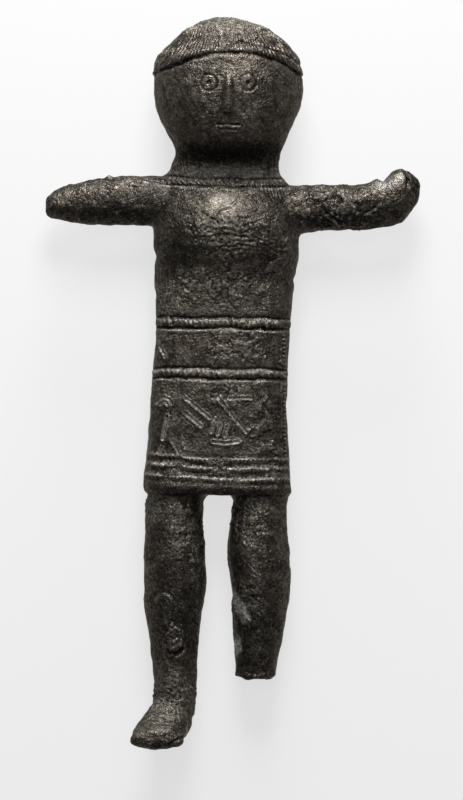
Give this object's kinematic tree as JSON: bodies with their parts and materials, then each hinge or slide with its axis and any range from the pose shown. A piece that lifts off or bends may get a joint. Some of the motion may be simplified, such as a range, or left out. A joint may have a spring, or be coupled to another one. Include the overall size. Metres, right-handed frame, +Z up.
{
  "type": "bronze figurine",
  "caption": "Small cast bronze votive figure in a long banded tunic, arms held out, a leg broken off above the ankle, lying on its back.",
  "frame": {"origin": "under the middle of the figure's bounding box, on the surface that it lies on", "axes": "+Y along the body towards the crown of the head, +X towards the figure's left hand, +Z up out of its chest"},
  "size_m": [0.0562, 0.1096, 0.0168],
  "materials": {
    "bronze": "dark brown, nearly black bronze patina, worn smoother on the chest and pitted in the recesses"
  },
  "bodies": {
    "root": {"figurine": "bronze"}
  },
  "joints": []
}
